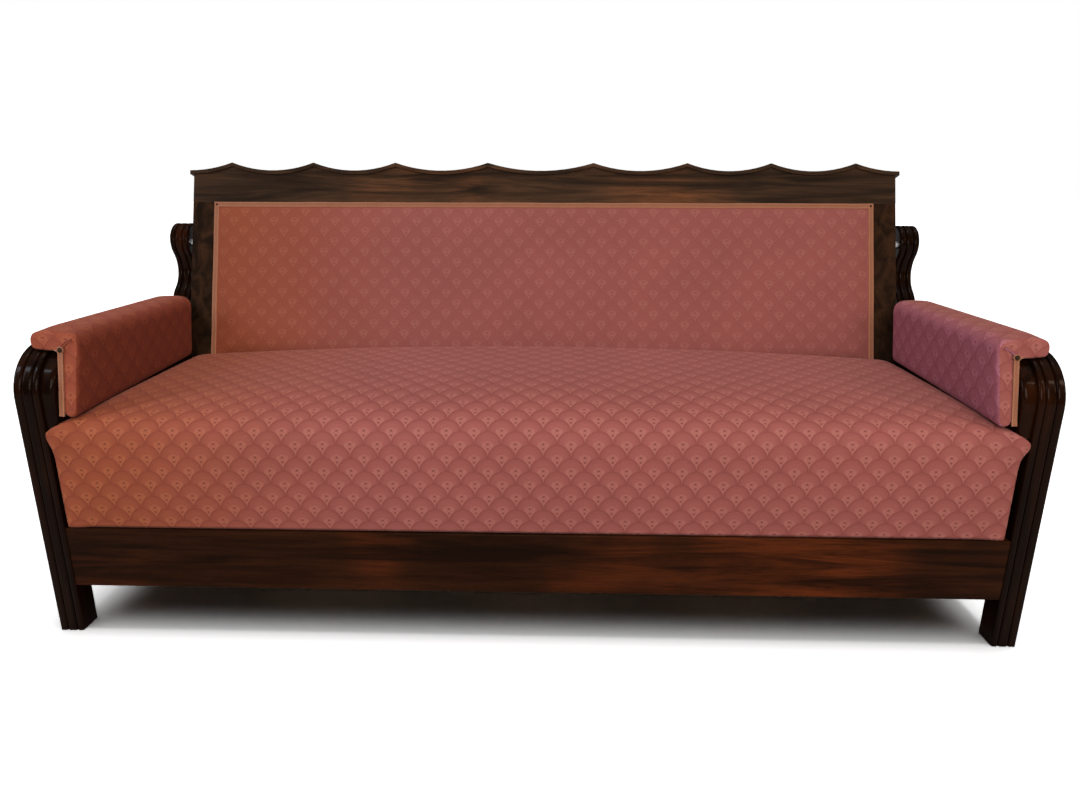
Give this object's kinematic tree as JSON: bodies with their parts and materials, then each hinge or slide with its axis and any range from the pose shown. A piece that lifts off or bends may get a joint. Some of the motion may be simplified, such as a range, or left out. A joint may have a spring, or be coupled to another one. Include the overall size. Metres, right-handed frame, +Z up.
{
  "type": "settee",
  "caption": "Upholstered wooden settee with reeded bent front posts, padded arms, a sprung seat and a leaning back with a scalloped crest that tilts upright on pivot pins.",
  "frame": {"origin": "on the floor under the middle of the whole settee's box, as it stands with the back leaning", "axes": "+X to the right as seen from the front, along the length; +Y to the rear; +Z up"},
  "size_m": [2, 0.7536, 0.9616],
  "materials": {
    "dark_wood": "dark brown polished",
    "frame_wood": "plain unpolished",
    "cover_fabric": "terracotta rose woven cover with a small fan pattern",
    "braid": "tan woven trim",
    "webbing": "jute",
    "dust_cloth": "black cloth",
    "steel": "bright",
    "brass": "aged"
  },
  "bodies": {
    "frame": {"arm_board_left": "frame_wood", "arm_board_right": "frame_wood", "arm_braid_left": "braid", "arm_braid_right": "braid", "arm_dowels": "frame_wood", "arm_nails": "brass", "arm_pad_left": "cover_fabric", "arm_pad_right": "cover_fabric", "arm_rail_left": "dark_wood", "arm_rail_right": "dark_wood", "bottom_cloth": "dust_cloth", "corner_block_left": "frame_wood", "corner_block_right": "frame_wood", "corner_screws": "steel", "cross_bearer_1": "frame_wood", "cross_bearer_2": "frame_wood", "cross_bearer_3": "frame_wood", "front_cleat": "frame_wood", "front_post_left": "dark_wood", "front_post_right": "dark_wood", "front_rail": "dark_wood", "outside_panel_left": "dark_wood", "outside_panel_right": "dark_wood", "pivot_pin_left": "steel", "pivot_pin_right": "steel", "pivot_spacer_left": "steel", "pivot_spacer_right": "steel", "rear_cleat": "frame_wood", "rear_post_left": "dark_wood", "rear_post_right": "dark_wood", "rear_rail": "dark_wood", "seat_frame_front": "frame_wood", "seat_frame_left": "frame_wood", "seat_frame_rear": "frame_wood", "seat_frame_right": "frame_wood", "seat_hessian": "webbing", "seat_pad": "cover_fabric", "seat_springs": "steel", "seat_webbing": "webbing", "side_rail_left": "dark_wood", "side_rail_right": "dark_wood", "stop_rail": "dark_wood"},
    "backrest": {"back_stile_left": "dark_wood", "back_stile_right": "dark_wood", "pivot_bush_left": "brass", "pivot_bush_right": "brass", "crest_rail": "dark_wood", "crest_cap": "dark_wood", "back_bottom_rail": "dark_wood", "back_centre_stile": "frame_wood", "back_lining": "dark_wood", "back_webbing": "webbing", "back_pad": "cover_fabric", "back_braid": "braid"}
  },
  "joints": [
    {"name": "backrest_tilt", "type": "hinge", "parent": "frame", "child": "backrest", "pos_m": [0, 0.29121, 0.757], "axis": [1, 0, 0], "range_deg": [0, 18.4]}
  ]
}
